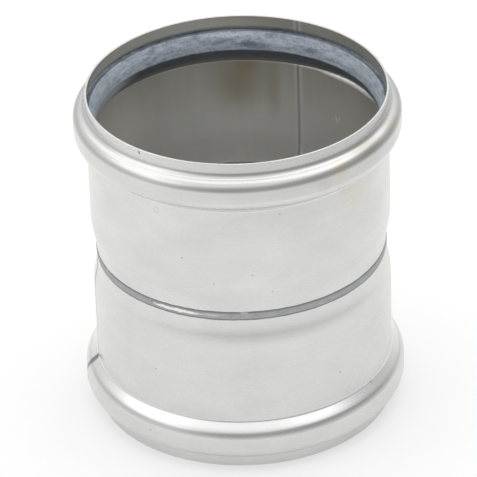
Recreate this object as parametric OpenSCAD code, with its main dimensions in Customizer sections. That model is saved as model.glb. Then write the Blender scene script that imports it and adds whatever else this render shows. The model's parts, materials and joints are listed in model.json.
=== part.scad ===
// Double socket coupling for a round metal flue.
// Two equal sockets of formed sheet metal stand neck to neck on one girth weld, with their mouths outwards.
// A rolled groove behind each rim holds a rubber lip seal, which grips the pipe pushed in there.
// The origin is the centre of the lower rim, and +Z runs along the duct.

/* [Pipe and sheet] */
// Outer diameter of the pipe that each socket takes
pipe_d = 80; // [60:1:200]
// Radial clearance of the pipe in the socket wall
pipe_clearance = 0.3; // [0.1:0.05:1]
// Thickness of the sheet
sheet = 0.6; // [0.4:0.05:1]

/* [Socket] */
// Length of one socket, from the middle of the girth weld to the rim
socket_length = 47.4; // [40:0.2:90]
// Straight collar between the rim and the seal groove
collar_length = 3.7; // [2:0.1:8]
// Radial step from the socket wall in to the neck, which stops the pipe
neck_step = 1.2; // [0.8:0.1:3]
// Straight length of the neck beside the middle of the girth weld
neck_straight = 3; // [2.5:0.1:6]
// Axial length of the taper from the neck out to the socket wall
neck_taper = 6.1; // [3:0.1:12]
// Bend radius at the foot of the taper
neck_round = 4; // [1:0.5:8]
// Bend radius where the taper meets the socket wall
wall_round = 8; // [2:0.5:14]

/* [Seal groove] */
// Depth of the groove, measured out from the socket wall
groove_depth = 3.4; // [2.6:0.1:5]
// Axial length of the groove's steep flank, beside the collar
mouth_flank = 1.15; // [0.9:0.05:4]
// Axial length of the groove's straight face
groove_face = 6.4; // [5.5:0.1:9]
// Axial length of the groove's sloping flank, beside the socket wall
wall_flank = 3.4; // [2.4:0.1:6]
// Outer bend radius between the collar and the steep flank
collar_bend = 1.7; // [0.5:0.1:2.5]
// Outer bend radius between the steep flank and the straight face
mouth_bend = 2.8; // [1.2:0.1:4]
// Outer bend radius between the straight face and the sloping flank
wall_bend = 2.8; // [1.2:0.1:4]
// Outer bend radius between the sloping flank and the socket wall
foot_bend = 1; // [0.3:0.1:2]

/* [Welds] */
// Width of the girth weld that joins the two necks
girth_weld_width = 2.6; // [1.6:0.1:4]
// Rise of the girth weld above the sheet, outside and inside
girth_weld_rise = 0.15; // [0.05:0.05:0.4]
// Width of the weld along each socket's seam
seam_width = 1.6; // [0.8:0.1:3]
// Rise of the seam weld above the sheet, outside and inside
seam_rise = 0.08; // [0.04:0.02:0.2]
// Place of the upper socket's seam round the duct, in degrees from +X
upper_seam_angle = 64.5; // [0:0.5:359]
// Place of the lower socket's seam round the duct, in degrees from +X
lower_seam_angle = 187; // [0:0.5:359]

/* [Lip seal] */
// Clearance of the seal in its groove
seal_clearance = 0.12; // [0.1:0.02:0.4]
// How far the free lip stands inside the pipe's surface
lip_bite = 1.7; // [0.8:0.1:3]
// Length of the lip's straight land
lip_land = 2.2; // [1:0.1:3]
// Distance from the groove's collar corner down to the end of the lip
lip_depth = 5.8; // [4.8:0.1:6.4]
// How far the seal's nose lies outside the lip
nose_setback = 1.2; // [0.4:0.1:1.6]
// Distance from the groove's collar corner down to the seal's nose
nose_depth = 0.5; // [0.3:0.1:1]
// Rounding of the seal's nose
nose_round = 0.3; // [0.1:0.1:0.6]
// Width of the notch behind the nose, which lets the lip bend outwards
notch_width = 1.6; // [1:0.1:2.4]
// Depth of the notch behind the nose
notch_depth = 1.2; // [0.6:0.1:2]
// How far the seal's toe lies outside the lip
toe_setback = 1.6; // [1:0.1:2]
// Height of the seal's toe above the groove's foot
toe_height = 2.2; // [1.6:0.1:3]
// Rounding of the seal's toe
toe_round = 0.3; // [0.1:0.1:0.6]
// Slope of the seal's underside, which falls outwards, in degrees
seat_angle = 10; // [0:1:20]

/* [Hidden] */
$fn = 96;
steel = "#d3d3cf";
weld_steel = "#9a9b9b";
seal_rubber = "#77818a";
// Steps in each bend of a section
bend_steps = 7;
// Steps across the crown of the girth weld
crown_steps = 8;
// Share of a straight that the bends at its two ends may use between them
bend_share = 0.98;

// Radii of the sheet's outer side
wall_r = pipe_d / 2 + pipe_clearance + sheet;
neck_r = wall_r - neck_step;
groove_r = wall_r + groove_depth;
// Heights in one socket, measured from the middle of the girth weld
collar_z = socket_length - collar_length;
face_top_z = collar_z - mouth_flank;
face_foot_z = face_top_z - groove_face;
foot_z = face_foot_z - wall_flank;
wall_z = neck_straight + neck_taper;

// Corners of the sheet's outer side from the weld to the rim, and the bend radius at each
socket_corners = [
    [neck_r, girth_weld_width / 2],
    [neck_r, neck_straight],
    [wall_r, wall_z],
    [wall_r, foot_z],
    [groove_r, face_foot_z],
    [groove_r, face_top_z],
    [wall_r, collar_z],
    [wall_r, socket_length]
];
socket_bends = [0, neck_round, wall_round, foot_bend, wall_bend, mouth_bend, collar_bend, 0];

function unit(v) = v / norm(v);
function outward(v) = unit([v[1], -v[0]]);
function reversed(list) = [for (i = [len(list) - 1:-1:0]) list[i]];

// A corner moved square to both of its straights, and the end of a path moved square to its one straight
function moved_corner(a, p, b, shift) = let (
    n = outward(p - a),
    m = outward(b - p)
) p + (n + m) * shift / (1 + n * m);
function moved_path(path, shift) = let (last = len(path) - 1) [
    for (i = [0:last])
        i == 0 ? path[0] + outward(path[1] - path[0]) * shift
        : i == last ? path[last] + outward(path[last] - path[last - 1]) * shift
        : moved_corner(path[i - 1], path[i], path[i + 1], shift)
];

// Half the angle between the two straights that meet at a corner
function half_angle(a, p, b) = acos(unit(a - p) * unit(b - p)) / 2;

// How far each bend of a closed list of corners would reach along its straights
function reaches(corners, bends) = let (n = len(corners)) [
    for (i = [0:n - 1])
        bends[i] == 0 ? 0
        : bends[i] / tan(half_angle(corners[(i + n - 1) % n], corners[i], corners[(i + 1) % n]))
];

// How much of its reach a bend keeps, so that it and the bend at the straight's other end both fit
function fit(a, b, reach_sum) = reach_sum == 0 ? 1 : min(1, bend_share * norm(b - a) / reach_sum);

// The round at a corner: an arc that touches both straights
function bend(a, p, b, reach) = let (
    u = unit(a - p),
    w = unit(b - p),
    half = half_angle(a, p, b),
    centre = p + unit(u + w) * reach / cos(half),
    start = p + u * reach - centre,
    turn = (180 - 2 * half) * sign(cross(p - a, b - p))
) [
    for (k = [0:bend_steps]) let (t = turn * k / bend_steps)
        centre + [start[0] * cos(t) - start[1] * sin(t), start[0] * sin(t) + start[1] * cos(t)]
];

// A closed outline with its corners bent
function bent_outline(corners, bends) = let (
    n = len(corners),
    wish = reaches(corners, bends)
) [
    for (i = [0:n - 1])
        let (
            a = corners[(i + n - 1) % n],
            p = corners[i],
            b = corners[(i + 1) % n],
            back = fit(a, p, wish[(i + n - 1) % n] + wish[i]),
            ahead = fit(p, b, wish[i] + wish[(i + 1) % n])
        )
        each bends[i] == 0 ? [p] : bend(a, p, b, wish[i] * min(back, ahead))
];

// A path with its corners bent, moved outwards by shift, which keeps one thickness round each bend
function bent_path(corners, bends, shift) = let (
    path = moved_path(corners, shift),
    moved_bends = [
        for (i = [0:len(path) - 1])
            bends[i] == 0 ? 0
            : bends[i] + shift * sign(cross(path[i] - path[i - 1], path[i + 1] - path[i]))
    ]
) bent_outline(path, moved_bends);

// Points of a shallow arc that stands rise above the radius r, from height z0 to height z1
function crown(r, rise, z0, z1) = [
    for (k = [0:crown_steps]) let (t = k / crown_steps) [r + 4 * rise * t * (1 - t), z0 + (z1 - z0) * t]
];

// Section of the sheet between two sides that lie extra above its real ones
module sheet_section(extra = 0) {
    polygon(concat(
        bent_path(socket_corners, socket_bends, extra),
        reversed(bent_path(socket_corners, socket_bends, -sheet - extra))
    ));
}

// One socket: the formed sheet, and the weld that closed it into a tube
module socket(seam_angle) {
    seam_turn = seam_width / wall_r * 180 / PI;
    color(steel) {
        rotate_extrude() sheet_section();
        rotate([0, 0, seam_angle - seam_turn / 2]) rotate_extrude(angle = seam_turn) sheet_section(seam_rise);
    }
}

// Space inside the sheet in which the seal may lie
module groove_space() {
    side = bent_path(socket_corners, socket_bends, -sheet - seal_clearance);
    polygon(concat([[0, side[0][1]]], side, [[0, socket_length]]));
}

// Section of the seal: its free form towards the pipe, and the form of the groove at its back
module seal_section() {
    lip = [pipe_d / 2 - lip_bite, collar_z - lip_depth];
    nose = [lip[0] + nose_setback, collar_z - nose_depth];
    toe = [lip[0] + toe_setback, foot_z + toe_height];
    seat_fall = (groove_r - toe[0]) * tan(seat_angle);
    intersection() {
        groove_space();
        polygon(bent_outline(
            [
                [groove_r, toe[1] - seat_fall],
                [groove_r, collar_z],
                nose + [notch_width, -notch_depth],
                nose,
                lip + [0, lip_land],
                lip,
                toe
            ],
            [0, 0, 0, nose_round, 0, 0, toe_round]
        ));
    }
}

module seal() {
    color(seal_rubber) rotate_extrude() seal_section();
}

// Places a child that is drawn for the upper socket, and mirrors it for the lower one
module at_upper() {
    translate([0, 0, socket_length]) children();
}

module at_lower() {
    translate([0, 0, socket_length]) mirror([0, 0, 1]) children();
}

module upper_socket() {
    at_upper() socket(upper_seam_angle);
}

module lower_socket() {
    at_lower() socket(lower_seam_angle);
}

// The girth weld, through the full thickness of both necks
module girth_weld() {
    edge_z = girth_weld_width / 2;
    color(weld_steel) at_upper() rotate_extrude() polygon(concat(
        crown(neck_r, girth_weld_rise, -edge_z, edge_z),
        crown(neck_r - sheet, -girth_weld_rise, edge_z, -edge_z)
    ));
}

module upper_seal() {
    at_upper() seal();
}

module lower_seal() {
    at_lower() seal();
}

upper_socket();
lower_socket();
girth_weld();
upper_seal();
lower_seal();
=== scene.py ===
import json
import logging
import math
from dataclasses import dataclass, field
from enum import Enum
from typing import Any, Callable

import bmesh
import bpy
from mathutils import Matrix, Vector, noise


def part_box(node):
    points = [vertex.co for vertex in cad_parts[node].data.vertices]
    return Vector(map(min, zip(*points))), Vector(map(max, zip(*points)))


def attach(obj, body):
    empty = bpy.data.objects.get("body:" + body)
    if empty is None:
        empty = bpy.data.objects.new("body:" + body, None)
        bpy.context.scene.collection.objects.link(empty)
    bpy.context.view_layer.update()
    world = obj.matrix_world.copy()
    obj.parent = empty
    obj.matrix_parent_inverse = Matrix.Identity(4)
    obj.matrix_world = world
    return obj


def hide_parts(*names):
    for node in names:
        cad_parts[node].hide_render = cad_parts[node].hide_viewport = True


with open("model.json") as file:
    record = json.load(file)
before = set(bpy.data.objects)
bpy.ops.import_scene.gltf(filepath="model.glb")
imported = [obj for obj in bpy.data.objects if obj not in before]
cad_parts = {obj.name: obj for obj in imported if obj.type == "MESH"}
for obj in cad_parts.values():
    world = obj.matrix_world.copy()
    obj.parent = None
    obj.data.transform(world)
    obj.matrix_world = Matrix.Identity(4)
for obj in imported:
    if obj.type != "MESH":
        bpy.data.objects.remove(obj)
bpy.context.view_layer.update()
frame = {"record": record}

# What a node gives and another takes
Socket = bpy.types.NodeSocket
MM = 0.001
# Steps of a turned ring: a step is 0.7 mm of the duct's outside
RING_STEPS = 384
# Steps of the weld's ring, fine enough for its ripples
WELD_STEPS = 1440
# Share of a straight that the bends at its two ends may use between them, as on the formed part
BEND_SHARE = 0.98
# How near a point lies to the place that a selection asks for
NEAR = 0.01
# Inputs and output of a Mix node that mixes colours
MIX_UNDER = 6
MIX_OVER = 7
MIX_RESULT = 2
# A range that eases in and out, and the ends of one that falls from full to nothing
EASED = {"interpolation_type": "SMOOTHSTEP"}
FALLING = {"To Min": 1.0, "To Max": 0.0}
# Size of the wander in a mark's edge
MARK_WANDER = 1.2
# How many times its own size a mark reaches in and out, and the least size that counts there
MARK_DEPTH = 3
MARK_LEAST = 4.0
# How far the seam's dark line fades to each side of its edge, as a share of its half width
SEAM_FADE = 0.5
# How much more a large face counts than a small one when a point's normal is worked out
FACE_WEIGHT = 80
# Facets in the broken edge of a rim
EDGE_FACETS = 3
# Which of a shell's corners are the groove's foot and its crest beside the wall
GROOVE_FOOT = 3
GROOVE_CREST = 4
# Direction of each socket's seam from +X, as packed
UPPER_SEAM_DEG = 64.5
LOWER_SEAM_DEG = 187.0


class End(Enum):
    """Which mouth of the coupling a piece belongs to; the value is its direction along Z."""

    UPPER = 1
    LOWER = -1


class Slot(Enum):
    """The record's material slots."""

    SHEET = "formed_sheet"
    WELD = "weld_metal"
    SEAL = "seal_rubber"


def linear(colour: str) -> tuple[float, float, float, float]:
    """Turns an sRGB hex colour to linear light.

    Args:
        colour: six hex digits after a hash.

    Returns:
        Red, green, blue and an alpha of 1.
    """
    parts = [int(colour[k:k + 2], 16) / 255 for k in (1, 3, 5)]
    light = [p / 12.92 if p <= 0.04045 else ((p + 0.055) / 1.055) ** 2.4 for p in parts]
    return light[0], light[1], light[2], 1.0


def on_duct(deg: float, radius: float, height: float) -> Vector:
    """Finds a place on the duct.

    Args:
        deg: direction from the axis, from +X.
        radius: distance from the axis.
        height: height over the floor.

    Returns:
        The place in metres.
    """
    turn = math.radians(deg)
    return Vector((radius * math.cos(turn), radius * math.sin(turn), height)) * MM


@dataclass(frozen=True)
class Pattern:
    """Soft random patches: the size of one along three axes, how many finer layers it has, and how hard they part."""

    patch: tuple[float, float, float]
    detail: float
    contrast: float = 2.5


@dataclass(frozen=True)
class Layer:
    """A tint that lies over a colour in patches: the tint, how much of it shows, and its pattern."""

    tint: str
    strength: float
    pattern: Pattern


@dataclass(frozen=True)
class Mark:
    """A stain, speck or scrape: its middle on the duct, its size, its colour and how much of it shows."""

    deg: float
    height: float
    width: float
    length: float
    colour: str
    strength: float = 1.0
    soft: float = 0.6
    lean_deg: float = 0.0


@dataclass(frozen=True)
class SeamLook:
    """How a welded and ground seam shows: a dark line between two pale bands."""

    line: float
    band: float
    dark: str
    pale: str
    dark_strength: float = 0.9
    pale_strength: float = 0.6


class Recipe:
    """The node tree of one material or world while its nodes are put together."""

    def __init__(self, owner: bpy.types.Material | bpy.types.World) -> None:
        """Starts an empty tree.

        Args:
            owner: the material or world that the tree belongs to.
        """
        owner.use_nodes = True
        self.owner = owner
        self.tree = owner.node_tree
        self.tree.nodes.clear()

    def add(
        self,
        kind: str,
        settings: dict[str, Any] | None = None,
        inputs: dict[str | int, Any] | None = None,
    ) -> bpy.types.Node:
        """Adds one node.

        Args:
            kind: the node's type name without the ShaderNode that each starts with.
            settings: properties of the node itself.
            inputs: for each input, by name or number, its fixed value or the socket that feeds it.

        Returns:
            The new node.
        """
        node = self.tree.nodes.new(f"ShaderNode{kind}")
        for name, value in (settings or {}).items():
            setattr(node, name, value)
        for name, value in (inputs or {}).items():
            if isinstance(value, Socket):
                self.tree.links.new(value, node.inputs[name])
            else:
                node.inputs[name].default_value = value
        return node

    def finish(self, shader: bpy.types.Node) -> Any:
        """Ends the tree at a shader and returns its owner."""
        kind = "World" if isinstance(self.owner, bpy.types.World) else "Material"
        self.add(f"Output{kind}", inputs={"Surface": shader.outputs[0]})
        return self.owner

    def flat_sheet(self, seam_deg: float, radius: float) -> Socket:
        """Unrolls the tube into its flat blank, whose two ends meet at the seam.

        Args:
            seam_deg: the seam's direction.
            radius: the radius at which the blank keeps its size.

        Returns:
            Metres along the blank from opposite the seam, metres of height, and 0.
        """
        place = self.add("TexCoord").outputs["Object"]
        turned = self.add("Mapping", {"vector_type": "TEXTURE"}, {
            "Vector": place, "Rotation": (0, 0, math.radians(seam_deg) + math.pi),
        })
        parts = self.add("SeparateXYZ", inputs={0: turned.outputs[0]})
        angle = self.add("Math", {"operation": "ARCTAN2"}, {0: parts.outputs["Y"], 1: parts.outputs["X"]})
        along = self.add("Math", {"operation": "MULTIPLY"}, {0: angle.outputs[0], 1: radius * MM})
        return self.add("CombineXYZ", inputs={0: along.outputs[0], 1: parts.outputs["Z"]}).outputs[0]

    def off_height(self, height: float) -> Socket:
        """Measures how far a place lies from a height.

        Args:
            height: the height over the floor.

        Returns:
            The distance in metres, above or below.
        """
        place = self.add("SeparateXYZ", inputs={0: self.add("TexCoord").outputs["Object"]})
        over = self.add("Math", {"operation": "SUBTRACT"}, {0: place.outputs["Z"], 1: height * MM})
        return self.add("Math", {"operation": "ABSOLUTE"}, {0: over.outputs[0]}).outputs[0]

    def off_axis(self, parts: bpy.types.Node) -> Socket:
        """Measures how far a place lies from the upright axis.

        Args:
            parts: the node that gives its X and Y.

        Returns:
            The distance in metres.
        """
        level = self.add("CombineXYZ", inputs={0: parts.outputs["X"], 1: parts.outputs["Y"]})
        return self.add("VectorMath", {"operation": "LENGTH"}, {0: level.outputs[0]}).outputs["Value"]

    def cloud(self, place: Socket, pattern: Pattern) -> Socket:
        """Makes soft random patches of a real size.

        Args:
            place: where the pattern is taken, in metres.
            pattern: the patches.

        Returns:
            A factor from 0 to 1.
        """
        scale = [1 / (size * MM) for size in pattern.patch]
        sized = self.add("Mapping", inputs={"Vector": place, "Scale": scale})
        patches = self.add("TexNoise", inputs={"Vector": sized.outputs[0], "Scale": 1.0, "Detail": pattern.detail})
        return self.add("MapRange", inputs={
            "Value": patches.outputs[0],
            "From Min": 0.5 - 0.5 / pattern.contrast, "From Max": 0.5 + 0.5 / pattern.contrast,
        }).outputs[0]

    def lay(self, under: Any, tint: str, share: Socket, strength: float) -> Socket:
        """Lays a tint over a colour.

        Args:
            under: the colour so far.
            tint: the hex colour that comes on top.
            share: where it lies, from 0 to 1.
            strength: how much of it shows there.

        Returns:
            The new colour.
        """
        amount = self.add("MapRange", inputs={"Value": share, "To Max": strength})
        return self.add("Mix", {"data_type": "RGBA"}, {
            0: amount.outputs[0], MIX_UNDER: under, MIX_OVER: linear(tint),
        }).outputs[MIX_RESULT]

    def lay_clouds(self, under: Any, place: Socket, *layers: Layer) -> Socket:
        """Lays tints over a colour in patches.

        Args:
            under: the colour so far.
            place: where the patterns are taken, in metres.
            layers: the tints, the lowest first.

        Returns:
            The new colour.
        """
        for layer in layers:
            under = self.lay(under, layer.tint, self.cloud(place, layer.pattern), layer.strength)
        return under

    def gloss(self, share: Socket, roughness: float, swing: float) -> Socket:
        """Swings the roughness with a pattern.

        Args:
            share: the pattern, from 0 to 1.
            roughness: the middle roughness.
            swing: how far it swings to each side.

        Returns:
            The roughness.
        """
        return self.add("MapRange", inputs={
            "Value": share, "To Min": roughness - swing, "To Max": roughness + swing,
        }).outputs[0]

    def lay_seam(
        self,
        under: Any,
        flat: Socket,
        radius: float,
        look: SeamLook,
    ) -> Socket:
        """Draws the seam over a colour.

        Args:
            under: the colour so far.
            flat: the unrolled place.
            radius: the radius at which the blank keeps its size.
            look: how the seam shows.

        Returns:
            The new colour.
        """
        parts = self.add("SeparateXYZ", inputs={0: flat})
        away = self.add("Math", {"operation": "ABSOLUTE"}, {0: parts.outputs["X"]})
        from_seam = self.add("Math", {"operation": "SUBTRACT"}, {
            0: math.pi * radius * MM, 1: away.outputs[0],
        })
        half = look.line / 2
        for inner, outer, tint, strength in (
            (half, half + look.band, look.pale, look.pale_strength),
            ((1 - SEAM_FADE) * half, (1 + SEAM_FADE) * half, look.dark, look.dark_strength),
        ):
            share = self.add("MapRange", EASED, {
                "Value": from_seam.outputs[0], "From Min": inner * MM, "From Max": outer * MM, **FALLING,
            })
            under = self.lay(under, tint, share.outputs[0], strength)
        return under

    def lay_marks(
        self,
        under: Any,
        marks: tuple[Mark, ...],
        radius: float,
        mid: float,
        ragged: float = 0.5,
    ) -> Socket:
        """Lays marks over a colour, each with a ragged edge.

        Args:
            under: the colour so far.
            marks: the marks.
            radius: radius of the wall that carries them.
            mid: height of the mid plane.
            ragged: how far their edges wander.

        Returns:
            The new colour.
        """
        place = self.add("TexCoord").outputs["Object"]
        wander = self.add("TexNoise", inputs={"Vector": place, "Scale": 1 / (MARK_WANDER * MM), "Detail": 2.0})
        centred = self.add("VectorMath", {"operation": "SUBTRACT"}, {
            0: wander.outputs["Color"], 1: (0.5, 0.5, 0.5),
        })
        moved = self.add("VectorMath", {"operation": "MULTIPLY_ADD"}, {
            0: centred.outputs[0], 1: (ragged * MM,) * 3, 2: place,
        })
        for mark in marks:
            # Deep enough to reach a wall that lies a few millimetres further in or out
            depth = MARK_DEPTH * max(mark.width, mark.length, MARK_LEAST)
            local = self.add("Mapping", {"vector_type": "TEXTURE"}, {
                "Vector": moved.outputs[0],
                "Location": on_duct(mark.deg, radius, mid + mark.height),
                "Rotation": (math.radians(mark.lean_deg), 0, math.radians(mark.deg)),
                "Scale": (depth * MM, mark.width / 2 * MM, mark.length / 2 * MM),
            })
            reach = self.add("VectorMath", {"operation": "LENGTH"}, {0: local.outputs[0]})
            share = self.add("MapRange", EASED, {
                "Value": reach.outputs["Value"], "From Min": 1.0 - mark.soft, "From Max": 1.0, **FALLING,
            })
            under = self.lay(under, mark.colour, share.outputs[0], mark.strength)
        return under


@dataclass(frozen=True)
class SatinSheet:
    """Cold-rolled stainless steel, mill finish outside: a soft grey mirror with a very fine grain along the roll, and
    a painted highlight on the groove's flank.
    """

    name: str
    seam_deg: float
    radius: float
    mid: float
    flank: tuple[float, float]
    marks: tuple[Mark, ...] = ()
    steel: str = "#d9d9d8"
    dull: Layer = Layer("#d1d1d0", 1.0, Pattern((16, 9, 1), 3))
    # Painted highlight on the groove's flank: its paler steel, how much of it shows, and how softly its edges fade
    flank_highlight: str = "#f4f4f4"
    flank_highlight_strength: float = 0.9
    flank_highlight_fade: float = 0.5
    seam: SeamLook = SeamLook(line=0.8, band=1.4, dark="#747575", pale="#cac9c5")
    roughness: float = 0.27
    rough_swing: float = 0.012
    grain: Pattern = Pattern((6, 0.15, 1), 2, 1.6)
    hollows: Pattern = Pattern((7, 3.5, 1), 2, 1.2)
    hollow_depth: float = 0.025

    def material(self) -> bpy.types.Material:
        """Clouds of slightly duller steel, a painted highlight on the groove's flank, the seam's grey line with its
        pale sides, and the photographed stains.
        """
        recipe = Recipe(bpy.data.materials.new(self.name))
        flat = recipe.flat_sheet(self.seam_deg, self.radius)
        colour = recipe.lay_clouds(linear(self.steel), flat, self.dull)
        # Painted highlight: the groove's flank is drawn in paler steel, so that it shines brighter than the wall
        # beside it. It is taken as burnished by the rolls, which is a guess: the photo can't tell polish from a
        # lamp
        middle, half = sum(self.flank) / 2, (self.flank[1] - self.flank[0]) / 2
        off_flank = recipe.add("Math", {"operation": "SUBTRACT"}, {
            0: recipe.off_height(self.mid), 1: middle * MM,
        })
        beside = recipe.add("Math", {"operation": "ABSOLUTE"}, {0: off_flank.outputs[0]})
        painted_highlight = recipe.add("MapRange", EASED, {
            "Value": beside.outputs[0], "From Min": (half - self.flank_highlight_fade) * MM,
            "From Max": (half + self.flank_highlight_fade) * MM, **FALLING,
        })
        colour = recipe.lay(colour, self.flank_highlight, painted_highlight.outputs[0], self.flank_highlight_strength)
        colour = recipe.lay_seam(colour, flat, self.radius, self.seam)
        colour = recipe.lay_marks(colour, self.marks, self.radius, self.mid)
        # The rolling grain is finer than a pixel, so it is drawn 0.15 mm wide and shows in the gloss alone
        gloss = recipe.gloss(recipe.cloud(flat, self.grain), self.roughness, self.rough_swing)
        # Finger-sized hollows, as forming rolls leave them, unsettle the long highlights
        bump = recipe.add("Bump", inputs={
            "Distance": self.hollow_depth * MM, "Height": recipe.cloud(flat, self.hollows),
        })
        return recipe.finish(recipe.add("BsdfPrincipled", inputs={
            "Base Color": colour, "Metallic": 1.0, "Roughness": gloss, "Normal": bump.outputs[0],
        }))


@dataclass(frozen=True)
class FlueSide:
    """The same sheet inside the duct: duller, as flue gas leaves it, a little olive, with runs down the wall."""

    name: str
    seam_deg: float
    radius: float
    mid: float
    marks: tuple[Mark, ...] = ()
    steel: str = "#c2c1bb"
    film: Layer = Layer("#adaba2", 0.5, Pattern((9, 12, 1), 4))
    runs: Layer = Layer("#b1afa6", 0.35, Pattern((1.3, 30, 1), 2))
    # Painted light on the wall below the seal: its pale tint, how much shows, and the heights over the mid plane
    # between which it comes in; above them the wall keeps a painted shade
    lower_wall_light: str = "#f4f4f2"
    lower_wall_light_strength: float = 0.4
    lower_wall_light_from: float = 34.0
    lower_wall_light_to: float = 19.0
    seam: SeamLook = SeamLook(
        line=0.9, band=1.3, dark="#8f8e92", pale="#e6e5e3", dark_strength=0.6, pale_strength=0.6
    )
    metallic: float = 0.8
    roughness: float = 0.42
    rough_swing: float = 0.06

    def material(self) -> bpy.types.Material:
        """A dull film in clouds, upright runs, painted shade under the seal with a paler wall further in, the seam's
        dark line with pale sides, and the stains.
        """
        recipe = Recipe(bpy.data.materials.new(self.name))
        flat = recipe.flat_sheet(self.seam_deg, self.radius)
        colour = recipe.lay_clouds(linear(self.steel), flat, self.film, self.runs)
        # Painted shade and light: the wall stays darker just under the seal and is drawn paler from 34 mm down to 19
        # mm over the mid plane
        lower_wall_light = recipe.add("MapRange", inputs={
            "Value": recipe.off_height(self.mid), "From Min": self.lower_wall_light_from * MM, "From Max": self.lower_wall_light_to * MM,
        })
        colour = recipe.lay(colour, self.lower_wall_light, lower_wall_light.outputs[0], self.lower_wall_light_strength)
        colour = recipe.lay_marks(colour, self.marks, self.radius, self.mid)
        colour = recipe.lay_seam(colour, flat, self.radius, self.seam)
        gloss = recipe.gloss(recipe.cloud(flat, self.film.pattern), self.roughness, self.rough_swing)
        return recipe.finish(recipe.add("BsdfPrincipled", inputs={
            "Base Color": colour, "Metallic": self.metallic, "Roughness": gloss,
        }))


@dataclass(frozen=True)
class CutEdge:
    """The sheet's sheared edge: raw, bright and a little rough, with fine shear lines across it."""

    name: str
    steel: str = "#e2e2e0"
    burnish: Layer = Layer("#bfbfbd", 0.5, Pattern((4, 4, 4), 3))
    shear_lines: Pattern = Pattern((0.2, 0.2, 2), 1)
    line_depth: float = 0.01
    line_strength: float = 0.6
    roughness: float = 0.36

    def material(self) -> bpy.types.Material:
        """Bright steel with slightly darker lengths that the shears rubbed smooth."""
        recipe = Recipe(bpy.data.materials.new(self.name))
        place = recipe.add("TexCoord").outputs["Object"]
        colour = recipe.lay_clouds(linear(self.steel), place, self.burnish)
        bump = recipe.add("Bump", inputs={
            "Strength": self.line_strength, "Distance": self.line_depth * MM,
            "Height": recipe.cloud(place, self.shear_lines),
        })
        return recipe.finish(recipe.add("BsdfPrincipled", inputs={
            "Base Color": colour, "Metallic": 1.0, "Roughness": self.roughness, "Normal": bump.outputs[0],
        }))


@dataclass(frozen=True)
class WeldMetal:
    """A flat machine-made weld in stainless steel: matte grey oxide, darker at its toes, bright in places."""

    name: str
    radius: float
    mid: float
    half_width: float
    marks: tuple[Mark, ...] = ()
    oxide: str = "#b1b2b2"
    patch: Layer = Layer("#9b9c9c", 0.7, Pattern((2.2, 2.2, 0.9), 3))
    toe: str = "#7b7c7d"
    toe_strength: float = 0.8
    toe_width: float = 0.35
    mark_rag: float = 0.7
    roughness: float = 0.48

    def material(self) -> bpy.types.Material:
        """Oxide in small patches, dark lines where the weld runs out on the sheet, and the bright marks."""
        recipe = Recipe(bpy.data.materials.new(self.name))
        place = recipe.add("TexCoord").outputs["Object"]
        colour = recipe.lay_clouds(linear(self.oxide), place, self.patch)
        toes = recipe.add("MapRange", EASED, {
            "Value": recipe.off_height(self.mid), "From Min": (self.half_width - 2 * self.toe_width) * MM,
            "From Max": (self.half_width - self.toe_width / 2) * MM,
        })
        # The photo shows a far fainter line inside the duct, so the toes are dark on the outer side alone
        parts = recipe.add("SeparateXYZ", inputs={0: place})
        outer = recipe.add("Math", {"operation": "GREATER_THAN"}, {
            0: recipe.off_axis(parts), 1: (self.radius - self.toe_width) * MM,
        })
        outer_toes = recipe.add("Math", {"operation": "MULTIPLY"}, {0: toes.outputs[0], 1: outer.outputs[0]})
        colour = recipe.lay(colour, self.toe, outer_toes.outputs[0], self.toe_strength)
        colour = recipe.lay_marks(colour, self.marks, self.radius, self.mid, self.mark_rag)
        return recipe.finish(recipe.add("BsdfPrincipled", inputs={
            "Base Color": colour, "Metallic": 1.0, "Roughness": self.roughness,
        }))


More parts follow.
